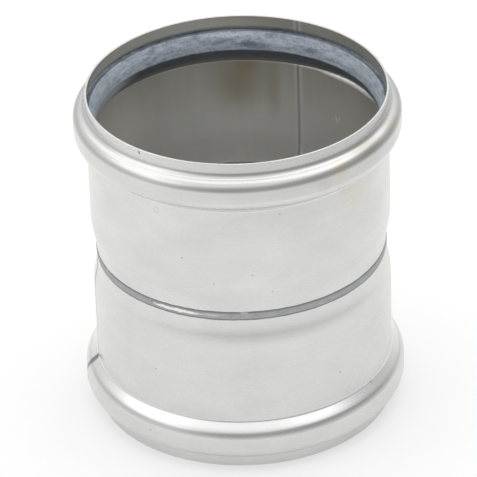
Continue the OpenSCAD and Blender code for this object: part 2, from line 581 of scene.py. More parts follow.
@dataclass(frozen=True)
class SealRubber:
    """Moulded silicone rubber: a bluish matte grey, with dark wiped patches under a pale bloom, painted shade under
    its lip and above its nose, and painted light towards its toe.
    """

    name: str
    radius: float
    mid: float
    lip: float
    nose: float
    toe: float
    marks: tuple[Mark, ...] = ()
    rubber: str = "#99a5b2"
    wiped: Layer = Layer("#616b77", 0.7, Pattern((5, 5, 1.4), 5, 3.5))
    bloom: Layer = Layer("#d3dbe6", 0.45, Pattern((2.4, 2.4, 0.8), 6, 4))
    dust: Layer = Layer("#d3dbe6", 0.26, Pattern((0.5, 0.5, 0.5), 2, 5))
    # Painted shade under the lip and above the nose: its colour, how much of it shows, and how far it fades
    seal_shade: str = "#20242a"
    seal_shade_strength: float = 0.9
    seal_shade_fade: float = 0.7
    # Painted light: the underside pales towards its toe in this colour
    foot: str = "#706c67"
    foot_strength: float = 0.8
    mark_rag: float = 2.0
    grain: Pattern = Pattern((0.4, 0.4, 0.4), 2)
    grain_depth: float = 0.02
    grain_strength: float = 0.5
    roughness: float = 0.5

    def material(self) -> bpy.types.Material:
        """Bloom drawn out round the ring over darker rubber, painted shade under the lip and above the nose, painted
        light towards the toe, and a faint moulded grain.
        """
        recipe = Recipe(bpy.data.materials.new(self.name))
        place = recipe.add("TexCoord").outputs["Object"]
        colour = recipe.lay_clouds(linear(self.rubber), place, self.wiped, self.bloom, self.dust)
        # Painted shade: the seal is drawn far darker below its lip and above its nose than on its land, where shade
        # falls under the lip and into the notch. Down to its toe the underside pales again, which may be light off
        # the wall. Down to its toe the underside is drawn paler again: painted light off the wall
        middle, half_fade = (self.lip + self.toe) / 2, self.seal_shade_fade / 2
        for tint, strength, start, stop in (
            (self.seal_shade, self.seal_shade_strength, self.lip + half_fade, self.lip - half_fade),
            (self.seal_shade, self.seal_shade_strength, self.nose - half_fade, self.nose + half_fade),
            (self.foot, self.foot_strength, middle, self.toe),
        ):
            zone = recipe.add("MapRange", EASED, {
                "Value": recipe.off_height(self.mid), "From Min": start * MM, "From Max": stop * MM,
            })
            colour = recipe.lay(colour, tint, zone.outputs[0], strength)
        colour = recipe.lay_marks(colour, self.marks, self.radius, self.mid, self.mark_rag)
        bump = recipe.add("Bump", inputs={
            "Strength": self.grain_strength, "Distance": self.grain_depth * MM,
            "Height": recipe.cloud(place, self.grain),
        })
        return recipe.finish(recipe.add("BsdfPrincipled", inputs={
            "Base Color": colour, "Roughness": self.roughness, "Normal": bump.outputs[0],
        }))


@dataclass(frozen=True)
class Corner:
    """One corner of a turned section: radius, height over the mid plane, and bend radius."""

    radius: float
    height: float
    bend: float = 0.0

    def place(self) -> Vector:
        """The corner as a point of its section."""
        return Vector((self.radius, self.height))


def half_angle(before: Corner, corner: Corner, after: Corner) -> float:
    """Works out half the angle between the two straights that meet at a corner.

    Args:
        before: the corner before it.
        corner: the corner.
        after: the corner after it.

    Returns:
        The half angle in radians.
    """
    return (before.place() - corner.place()).angle(after.place() - corner.place()) / 2


def bend_reaches(corners: list[Corner]) -> list[float]:
    """Works out how far each bend reaches along its straights, which it shares with the next bend.

    Args:
        corners: the corners of a section, taken as closed.

    Returns:
        The reach at each corner.
    """
    count = len(corners)
    wishes = [
        corner.bend / math.tan(half_angle(corners[k - 1], corner, corners[(k + 1) % count])) if corner.bend else 0.0
        for k, corner in enumerate(corners)
    ]
    reaches = []
    for k, wish in enumerate(wishes):
        kept = 1.0
        for other in ((k - 1) % count, (k + 1) % count):
            length = (corners[other].place() - corners[k].place()).length
            if wish + wishes[other] > 0:
                kept = min(kept, BEND_SHARE * length / (wish + wishes[other]))
        reaches.append(wish * kept)
    return reaches


class TurnedPiece:
    """A piece drawn out of one ring of edges, corner by corner, and bent at its corners."""

    def __init__(
        self,
        name: str,
        corners: list[Corner],
        mid: float,
        end: End = End.UPPER,
        steps: int = RING_STEPS,
    ) -> None:
        """Starts the piece with its first ring.

        Args:
            name: the object's name.
            corners: the section's corners in order.
            mid: height of the mid plane, from which the corners are measured.
            end: the mouth that it belongs to; the lower one turns the section over.
            steps: number of steps round the ring.
        """
        self.corners = corners
        self.mid = mid
        self.end = end
        first = corners[0]
        bpy.ops.object.select_all(action="DESELECT")
        bpy.ops.mesh.primitive_circle_add(
            vertices=steps, radius=first.radius * MM, location=(0, 0, self.height(first.height) * MM)
        )
        self.object = bpy.context.object
        self.object.name = self.object.data.name = name
        bpy.ops.object.transform_apply(location=True)

    def height(self, over_mid: float) -> float:
        """A height over the floor, from one over the mid plane towards the piece's own mouth."""
        return self.mid + self.end.value * over_mid

    def edit(self) -> None:
        """Goes into edit mode, where edges are selected."""
        bpy.ops.object.mode_set(mode="EDIT")
        bpy.context.tool_settings.mesh_select_mode = (False, True, False)

    def done(self) -> None:
        """Leaves edit mode."""
        bpy.ops.object.mode_set(mode="OBJECT")

    def select_edges(self, chosen: Callable[[Vector, Vector], bool]) -> None:
        """Selects edges by the places of their ends, and the faces that lie between them.

        Args:
            chosen: says whether an edge between two points is wanted.
        """
        bpy.ops.mesh.select_all(action="DESELECT")
        mesh = bmesh.from_edit_mesh(self.object.data)
        for edge in mesh.edges:
            if chosen(edge.verts[0].co, edge.verts[1].co):
                edge.select_set(True)
        mesh.select_flush_mode()
        bmesh.update_edit_mesh(self.object.data)

    def select_points(self, chosen: Callable[[Vector], bool]) -> None:
        """Selects the edges whose ends both lie where they are wanted.

        Args:
            chosen: says whether a point is wanted.
        """
        self.select_edges(lambda a, b: chosen(a) and chosen(b))

    def select_ring(self, radius: float, height: float) -> None:
        """Selects the ring of edges at one radius and one height.

        Args:
            radius: distance from the axis.
            height: height over the floor.
        """
        self.select_points(
            lambda point: math.hypot(math.hypot(point.x, point.y) - radius * MM, point.z - height * MM) < NEAR * MM
        )

    def draw_out(self) -> None:
        """Draws the ring out from corner to corner."""
        self.edit()
        bpy.ops.mesh.select_all(action="SELECT")
        for last, corner in zip(self.corners, self.corners[1:]):
            rise = (self.height(corner.height) - self.height(last.height)) * MM
            spread = corner.radius / last.radius
            bpy.ops.mesh.extrude_region_move(TRANSFORM_OT_translate={"value": (0, 0, rise)})
            bpy.ops.transform.resize(value=(spread, spread, 1), center_override=(0, 0, 0))
        self.done()

    def close_section(self) -> None:
        """Bridges the last ring to the first, so that the section is closed."""
        self.edit()
        bpy.ops.mesh.select_all(action="DESELECT")
        mesh = bmesh.from_edit_mesh(self.object.data)
        for edge in mesh.edges:
            edge.select_set(edge.is_boundary)
        bmesh.update_edit_mesh(self.object.data)
        bpy.ops.mesh.bridge_edge_loops()
        self.done()

    def bend_corners(self, step_deg: float) -> None:
        """Bends the section's corners to their radii.

        Args:
            step_deg: the turn that one facet of a bend may take.
        """
        self.edit()
        count = len(self.corners)
        for k, reach in enumerate(bend_reaches(self.corners)):
            if reach == 0:
                continue
            corner = self.corners[k]
            half = half_angle(self.corners[k - 1], corner, self.corners[(k + 1) % count])
            self.select_ring(corner.radius, self.height(corner.height))
            bpy.ops.mesh.bevel(
                offset_type="OFFSET",
                offset=reach * MM,
                segments=max(2, math.ceil((180 - 2 * math.degrees(half)) / step_deg)),
                profile=0.5,
                affect="EDGES",
                clamp_overlap=False,
            )
        self.done()

    def split_straights(self, row: float) -> None:
        """Cuts the long straights into rows, so that the wall can wander and take dents.

        Args:
            row: the longest row that stays.
        """
        def along(a: Vector, b: Vector) -> bool:
            """Whether an edge runs along the section and not round the duct."""
            return math.hypot(math.hypot(a.x, a.y) - math.hypot(b.x, b.y), a.z - b.z) > NEAR * MM

        self.edit()
        mesh = bmesh.from_edit_mesh(self.object.data)
        lengths = {round(e.calc_length() / MM, 2) for e in mesh.edges if along(e.verts[0].co, e.verts[1].co)}
        for length in sorted(lengths):
            cuts = math.ceil(length / row) - 1
            if cuts < 1:
                continue
            self.select_edges(lambda a, b: along(a, b) and abs((a - b).length / MM - length) < NEAR)
            bpy.ops.mesh.subdivide(number_cuts=cuts)
        self.done()

    def face_out(self) -> None:
        """Merges doubles and turns all faces outwards."""
        self.edit()
        bpy.ops.mesh.select_all(action="SELECT")
        bpy.ops.mesh.remove_doubles(threshold=NEAR * MM / 10)
        bpy.ops.mesh.normals_make_consistent(inside=False)
        self.done()

    def apply(self, kind: str, **settings: Any) -> None:
        """Adds a modifier with its settings and applies it.

        Args:
            kind: the modifier's type name.
            settings: its properties.
        """
        modifier = self.object.modifiers.new(kind.lower(), kind)
        for name, value in settings.items():
            setattr(modifier, name, value)
        bpy.ops.object.modifier_apply(modifier=modifier.name)

    def shift(self, way: float, share: Callable[[Vector], float], **settings: Any) -> None:
        """Moves the surface, each point by its own share.

        Args:
            way: how far a point with a full share moves.
            share: the share of a point, from 0 to 1.
            settings: the direction or the pattern that the move follows.
        """
        moved = self.object.vertex_groups.new(name="moved")
        for vertex in self.object.data.vertices:
            moved.add([vertex.index], share(vertex.co), "REPLACE")
        self.apply("DISPLACE", vertex_group=moved.name, strength=way * MM, **settings)
        self.object.vertex_groups.clear()

    def press(self, depth: float, patch: float, share: Callable[[Vector], float]) -> None:
        """Presses shallow hollows into the surface, as forming rolls do.

        Args:
            depth: depth of the deepest hollow.
            patch: size of a hollow.
            share: how much of the depth a point takes, from 0 to 1.
        """
        hollows = bpy.data.textures.new("hollows", "CLOUDS")
        hollows.noise_scale = patch * MM
        self.shift(depth, share, texture=hollows, texture_coords="LOCAL", mid_level=1.0)

    def smooth(self, sharp_deg: float) -> None:
        """Shades the piece smooth, with sharp edges where its faces turn by more than an angle."""
        bpy.ops.object.shade_smooth_by_angle(angle=math.radians(sharp_deg))
        self.apply("WEIGHTED_NORMAL", keep_sharp=True, weight=FACE_WEIGHT)

    def hand_over(self, node: str) -> bpy.types.Object:
        """Gives the piece its place in the frame.

        Args:
            node: the node that it stands for.

        Returns:
            The finished object.
        """
        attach(self.object, "root")
        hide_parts(node)
        logging.info("%s: %d faces", self.object.name, len(self.object.data.polygons))
        return self.object


@dataclass
class Sizes:
    """The coupling's driving sizes, read from the frame where it states them."""

    sheet: float = 0.6
    mid: float = 0.0
    length: float = 0.0
    weld_width: float = 0.0
    wall_radius: float = 0.0
    groove_radius: float = 0.0
    lip_radius: float = 0.0

    @classmethod
    def from_frame(cls) -> "Sizes":
        """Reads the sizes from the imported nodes' boxes and the record's mounts."""
        sizes = cls()
        bores = {mount["name"]: mount["dims"] for mount in frame["record"]["mounts"]}
        weld_low, weld_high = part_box("girth_weld")
        socket_low, socket_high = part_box("upper_socket")
        sizes.mid = (weld_low.z + weld_high.z) / 2 / MM
        sizes.weld_width = (weld_high.z - weld_low.z) / MM
        sizes.length = socket_high.z / MM - sizes.mid
        sizes.wall_radius = bores["upper_socket_wall"]["r_mm"] + sizes.sheet
        sizes.groove_radius = socket_high.x / MM
        sizes.lip_radius = bores["upper_seal_lip"]["r_mm"]
        return sizes


@dataclass
class SocketShell:
    """One formed socket: neck, taper, wall, rolled seal groove and collar, in sheet of one thickness."""

    sizes: Sizes
    end: End
    node: str
    seam_deg: float
    outside_marks: tuple[Mark, ...] = ()
    inside_marks: tuple[Mark, ...] = ()
    neck_step: float = 1.2
    neck_straight: float = 3.6
    neck_taper: float = 5.2
    neck_round: float = 14.0
    wall_round: float = 18.0
    collar_length: float = 3.7
    mouth_flank: float = 1.15
    groove_face: float = 6.65
    wall_flank: float = 2.85
    collar_bend: float = 1.7
    mouth_bend: float = 2.8
    wall_bend: float = 3.4
    foot_bend: float = 0.8
    rim_round: float = 0.1
    row: float = 1.6
    bend_step_deg: float = 7.0
    seam_width: float = 1.6
    seam_rise: float = 0.08
    # Lines cut along the seam, as shares of its width from its middle
    seam_lines: tuple[float, ...] = (-0.5, -0.25, 0.0, 0.25, 0.5)
    # Steps up the seam's bead: half width and rise, as shares of the whole width and rise
    seam_steps: tuple[tuple[float, float], ...] = ((0.3, 0.75), (0.1, 0.25))
    # Share of the groove's flank, up from its foot, that carries the painted highlight
    highlight_share: float = 0.6
    hollow_depth: float = 0.05
    hollow_size: float = 8.0
    sharp_deg: float = 35.0

    def corners(self) -> list[Corner]:
        """The outer side's corners from the weld to the rim."""
        neck = self.sizes.wall_radius - self.neck_step
        wall = self.sizes.wall_radius
        groove = self.sizes.groove_radius
        collar = self.sizes.length - self.collar_length
        face_top = collar - self.mouth_flank
        face_foot = face_top - self.groove_face
        return [
            Corner(neck, self.sizes.weld_width / 2),
            Corner(neck, self.neck_straight, self.neck_round),
            Corner(wall, self.neck_straight + self.neck_taper, self.wall_round),
            Corner(wall, face_foot - self.wall_flank, self.foot_bend),
            Corner(groove, face_foot, self.wall_bend),
            Corner(groove, face_top, self.mouth_bend),
            Corner(wall, collar, self.collar_bend),
            Corner(wall, self.sizes.length),
        ]

    def build(self) -> bpy.types.Object:
        """Forms the sheet, welds its seam and returns the dressed object."""
        piece = TurnedPiece(f"{self.node}_shell", self.corners(), self.sizes.mid, self.end)
        piece.draw_out()
        piece.bend_corners(self.bend_step_deg)
        piece.split_straights(self.row)
        self.cut_seam(piece)
        piece.face_out()
        piece.press(self.hollow_depth, self.hollow_size, self.crest_share)
        self.dress(piece)
        piece.apply(
            "SOLIDIFY", thickness=self.sizes.sheet * MM, offset=-1.0, use_even_offset=True,
            material_offset=1, material_offset_rim=2,
        )
        self.raise_seam(piece)
        self.round_rim(piece)
        piece.smooth(self.sharp_deg)
        return piece.hand_over(self.node)

    def dress(self, piece: TurnedPiece) -> None:
        """Gives the shell its three finishes: outside, inside and cut edge."""
        place = (self.seam_deg, self.sizes.wall_radius, self.sizes.mid)
        side = self.end.name.lower()
        corners = self.corners()
        foot, crest = corners[GROOVE_FOOT].height, corners[GROOVE_CREST].height
        flank = (foot, foot + self.highlight_share * (crest - foot))
        for finish in (
            SatinSheet(f"cold rolled stainless sheet, satin, {side}", *place, flank, self.outside_marks),
            FlueSide(f"stainless sheet, flue side, {side}", *place, self.inside_marks),
            CutEdge(f"stainless sheet, sheared edge, {side}"),
        ):
            piece.object.data.materials.append(finish.material())

    def crest_share(self, point: Vector) -> float:
        """How far up the groove a point lies, from 0 on the wall to 1 on the crest."""
        radius = math.hypot(point.x, point.y) / MM
        return max(0.0, (radius - self.sizes.wall_radius) / (self.sizes.groove_radius - self.sizes.wall_radius))

    def seam_run(self, point: Vector) -> tuple[float, float]:
        """How far a point lies beside the seam's plane, and from the axis towards the seam."""
        turn = math.radians(self.seam_deg)
        aside = -point.x * math.sin(turn) + point.y * math.cos(turn)
        towards = point.x * math.cos(turn) + point.y * math.sin(turn)
        return aside / MM, towards / MM

    def cut_seam(self, piece: TurnedPiece) -> None:
        """Cuts the seam's two edges, quarter lines and middle into the wall."""
        def near_seam(point: Vector) -> bool:
            """Whether a point lies in the strip that the seam is cut into."""
            aside, towards = self.seam_run(point)
            return towards > 0 and abs(aside) < 2 * self.seam_width

        turn = math.radians(self.seam_deg)
        across = Vector((-math.sin(turn), math.cos(turn), 0))
        piece.edit()
        for share in self.seam_lines:
            piece.select_points(near_seam)
            bpy.ops.mesh.bisect(
                plane_co=across * share * self.seam_width * MM, plane_no=across, threshold=5 * NEAR * MM
            )
        piece.done()

    def raise_seam(self, piece: TurnedPiece) -> None:
        """Raises the weld bead along the seam, outside and inside, up to the rim and the girth weld."""
        top = self.sizes.length - self.sizes.sheet
        foot = self.sizes.weld_width / 2 + self.sizes.sheet

        def on_bead(point: Vector, half_width: float) -> bool:
            """Whether a point lies on the bead, nearer to its middle than half_width."""
            aside, towards = self.seam_run(point)
            return towards > 0 and abs(aside) < half_width and foot < abs(point.z / MM - self.sizes.mid) < top

        piece.edit()
        for half_share, rise_share in self.seam_steps:
            half_width = half_share * self.seam_width
            piece.select_points(lambda point: on_bead(point, half_width))
            bpy.ops.transform.shrink_fatten(value=rise_share * self.seam_rise * MM)
        piece.done()

    def round_rim(self, piece: TurnedPiece) -> None:
        """Breaks both edges of the sheared rim."""
        rim = piece.height(self.sizes.length)
        piece.edit()
        for radius in (self.sizes.wall_radius, self.sizes.wall_radius - self.sizes.sheet):
            piece.select_ring(radius, rim)
            bpy.ops.mesh.bevel(offset=self.rim_round * MM, segments=EDGE_FACETS, profile=0.5, affect="EDGES")
        piece.done()


@dataclass
class GirthWeld:
    """The weld round the duct that joins the two necks, low and flat inside and out, with fine ripples."""

    sizes: Sizes
    neck_radius: float
    marks: tuple[Mark, ...] = ()
    node: str = "girth_weld"
    rise: float = 0.15
    crown_steps: int = 12
    ripple_pitch: float = 0.85
    ripple_depth: float = 0.03
    ripple_lean: float = 0.8
    ripple_drift: float = 3.0
    # Parts of a ripple that are pressed down, one inside the other
    trough_shares: tuple[float, ...] = (0.6, 0.3)
    # Share of the weld's width that carries ripples
    rippled_share: float = 0.9
    toe_spread: float = 0.02
    toe_drift: float = 2.0
    # Levels of the drift over which the toes spread one step further
    toe_levels: tuple[float, ...] = (-0.2, 0.0, 0.2)
    sharp_deg: float = 40.0

    def corners(self) -> list[Corner]:
        """Points of the outer crown upwards, then of the inner crown downwards."""
        half = self.sizes.weld_width / 2
        steps = [k / self.crown_steps for k in range(self.crown_steps + 1)]
        outer = [Corner(self.neck_radius + 4 * self.rise * t * (1 - t), half * (2 * t - 1)) for t in steps]
        inner_radius = self.neck_radius - self.sizes.sheet
        inner = [Corner(inner_radius - 4 * self.rise * t * (1 - t), half * (1 - 2 * t)) for t in steps]
        return outer + inner

    def build(self) -> bpy.types.Object:
        """Lays the weld and returns the dressed object."""
        piece = TurnedPiece(f"{self.node}_bead", self.corners(), self.sizes.mid, steps=WELD_STEPS)
        piece.draw_out()
        piece.close_section()
        piece.face_out()
        self.freeze_ripples(piece)
        self.spread_toes(piece)
        finish = WeldMetal(
            "stainless weld, oxide grey", self.neck_radius, self.sizes.mid, self.sizes.weld_width / 2, self.marks
        )
        piece.object.data.materials.append(finish.material())
        piece.smooth(self.sharp_deg)
        return piece.hand_over(self.node)

    def drift(self, point: Vector, patch: float) -> float:
        """A slow random swing round the weld, from -1 to 1, the same across its width."""
        return noise.noise(Vector((point.x, point.y, 0)) / (patch * MM))

    def freeze_ripples(self, piece: TurnedPiece) -> None:
        """Presses the slanting troughs between the pool's ripples into both crowns."""
        def in_trough(point: Vector, share: float) -> bool:
            """Whether a point lies in the first share of its ripple."""
            height = point.z / MM - self.sizes.mid
            around = math.atan2(point.y, point.x) * self.neck_radius
            ripples = (around + self.ripple_lean * height) / self.ripple_pitch + self.drift(point, self.ripple_drift)
            return abs(height) < self.rippled_share * self.sizes.weld_width / 2 and ripples % 1 < share

        piece.edit()
        for share in self.trough_shares:
            piece.select_points(lambda point: in_trough(point, share))
            bpy.ops.transform.shrink_fatten(value=-self.ripple_depth / len(self.trough_shares) * MM)
        piece.done()

    def spread_toes(self, piece: TurnedPiece) -> None:
        """Lets the weld run out a little further on the sheet in some lengths than in others."""
        piece.edit()
        for level in self.toe_levels:
            piece.select_points(lambda point: self.drift(point, self.toe_drift) > level)
            bpy.ops.transform.resize(
                value=(1, 1, 1 + self.toe_spread), center_override=(0, 0, self.sizes.mid * MM)
            )
        piece.done()


@dataclass
class LipSeal:
    """One moulded seal: its back follows the groove and its free lip stands in the pipe's way."""

    sizes: Sizes
    shell: SocketShell
    node: str
    marks: tuple[Mark, ...] = ()
    clearance: float = 0.16
    lip_depth: float = 5.8
    lip_land: float = 2.2
    nose_setback: float = 1.2
    nose_depth: float = 0.5
    nose_round: float = 0.3
    notch_width: float = 1.6
    notch_depth: float = 1.2
    toe_setback: float = 1.6
    toe_height: float = 0.65
    toe_lift: float = 1.1
    lift_deg: float = 38.0
    lift_half_deg: float = 31.0
    toe_round: float = 0.3
    seat_deg: float = 10.0
    lip_edge_round: float = 0.12
    bend_step_deg: float = 12.0
    row: float = 0.8
    sharp_deg: float = 50.0

    def corners(self) -> list[Corner]:
        """The section's corners, round by the groove's face, the notch, the nose and the lip to the toe."""
        steps = self.shell.corners()
        inset = self.sizes.sheet + self.clearance
        wall, foot, face_foot, face_top, collar, rim = steps[2:]
        lip_foot = Vector((self.sizes.lip_radius, collar.height - self.lip_depth))
        nose = Vector((lip_foot.x + self.nose_setback, collar.height - self.nose_depth))
        notch = nose + Vector((self.notch_width, -self.notch_depth))
        toe = Vector((lip_foot.x + self.toe_setback, foot.height + self.toe_height))
        flank_low = shifted_corner(wall, foot, face_foot, inset)
        back_low = shifted_corner(foot, face_foot, face_top, inset)
        back_high = shifted_corner(face_foot, face_top, collar, inset)
        flank_high = shifted_corner(face_top, collar, rim, inset)
        seat_run = Vector((1.0, -math.tan(math.radians(self.seat_deg))))
        seat = crossing(toe, toe + seat_run, flank_low, back_low)
        shoulder = crossing(notch, Vector((self.sizes.groove_radius, collar.height)), back_high, flank_high)
        return [
            Corner(seat.x, seat.y),
            Corner(back_low.x, back_low.y, face_foot.bend - inset),
            Corner(back_high.x, back_high.y, face_top.bend - inset),
            Corner(shoulder.x, shoulder.y),
            Corner(notch.x, notch.y),
            Corner(nose.x, nose.y, self.nose_round),
            Corner(lip_foot.x, lip_foot.y + self.lip_land),
            Corner(lip_foot.x, lip_foot.y, self.lip_edge_round),
            Corner(toe.x, toe.y, self.toe_round),
        ]

    def lip_height(self) -> float:
        """Height of the lip's edge over the mid plane."""
        return self.sizes.length - self.shell.collar_length - self.lip_depth

    def lift_share(self, point: Vector) -> float:
        """How much a point rides up with the toe, where the ring doesn't lie quite flat in its groove."""
        away = abs(math.degrees(math.atan2(point.y, point.x)) - self.lift_deg)
        beside = max(0.0, 1 - away / self.lift_half_deg)
        lip, toe = self.lip_height(), self.corners()[-1].height
        under = (lip - abs(point.z / MM - self.sizes.mid)) / (lip - toe)
        return beside * beside * (3 - 2 * beside) * min(1.0, max(0.0, under))

    def build(self) -> bpy.types.Object:
        """Moulds the seal and returns the dressed object."""
        piece = TurnedPiece(f"{self.node}_ring", self.corners(), self.sizes.mid, self.shell.end)
        piece.draw_out()
        piece.close_section()
        piece.bend_corners(self.bend_step_deg)
        piece.split_straights(self.row)
        piece.face_out()
        piece.shift(self.shell.end.value * self.toe_lift, self.lift_share, direction="Z", mid_level=0.0)
        lip = self.lip_height()
        finish = SealRubber(
            f"moulded silicone rubber, bloomed, {self.shell.end.name.lower()}",
            self.sizes.lip_radius, self.sizes.mid,
            lip, lip + self.lip_depth - self.nose_depth, self.corners()[-1].height, self.marks,
        )
        piece.object.data.materials.append(finish.material())
        piece.smooth(self.sharp_deg)
        return piece.hand_over(self.node)


def shifted_corner(before: Corner, corner: Corner, after: Corner, inset: float) -> Vector:
    """Moves a corner of the sheet's outer side inwards, square to both of its straights.

    Args:
        before: the corner before it.
        corner: the corner to move.
        after: the corner after it.
        inset: how far it moves.

    Returns:
        The moved corner as a point of the section.
    """
    def outward(start: Corner, stop: Corner) -> Vector:
        """The outward normal of a straight."""
        run = (stop.place() - start.place()).normalized()
        return Vector((run.y, -run.x))

    first, second = outward(before, corner), outward(corner, after)
    return corner.place() - (first + second) * inset / (1 + first.dot(second))


def crossing(a: Vector, b: Vector, c: Vector, d: Vector) -> Vector:
    """Finds where the line through a and b meets the line through c and d.

    Args:
        a: a point of the first line.
        b: another point of it.
        c: a point of the second line.
        d: another point of it.

    Returns:
        The point where they meet.
    """
    run, other = b - a, d - c
    return a + run * (c - a).cross(other) / run.cross(other)


@dataclass
class PhotoCamera:
    """The camera at the photograph's viewing angle: far off, with a long lens, a little turned on its axis."""

    distance: float = 1079.6
    elevation_deg: float = 31.515
    roll_deg: float = -1.95
    aside: float = -0.82
    aim_height: float = 47.3
    lens: float = 297.07
    sensor: float = 36.0

    def place(self) -> None:
        """Makes the camera and hands it to the scene."""
        tilt = math.radians(self.elevation_deg)
        aim = Vector((self.aside, 0, self.aim_height))
        place = aim + self.distance * Vector((0, -math.cos(tilt), math.sin(tilt)))
        data = bpy.data.cameras.new("photo_camera")
        data.lens = self.lens
        data.sensor_width = self.sensor
        camera = bpy.data.objects.new("photo_camera", data)
        turn = Matrix.Rotation(math.pi / 2 - tilt, 4, "X") @ Matrix.Rotation(math.radians(self.roll_deg), 4, "Z")
        camera.matrix_world = Matrix.Translation(place * MM) @ turn
        bpy.context.collection.objects.link(camera)
        bpy.context.scene.camera = camera


@dataclass
class Softbox:
    """One soft lamp with an even face."""

    name: str
    place_m: tuple[float, float, float]
    aim_m: tuple[float, float, float]
    width_m: float
    depth_m: float
    glow: float

    def hang(self) -> None:
        """Adds the lamp. Its glow is what its face adds to the sky behind it, where 1 renders white."""
        data = bpy.data.lights.new(self.name, "AREA")
        data.shape = "RECTANGLE"
        data.size = self.width_m
        data.size_y = self.depth_m
        data.energy = self.glow * math.pi * self.width_m * self.depth_m
        lamp = bpy.data.objects.new(self.name, data)
        lamp.location = self.place_m
        sight = Vector(self.aim_m) - Vector(self.place_m)
        lamp.rotation_euler = sight.to_track_quat("-Z", "Y").to_euler()
        bpy.context.collection.objects.link(lamp)


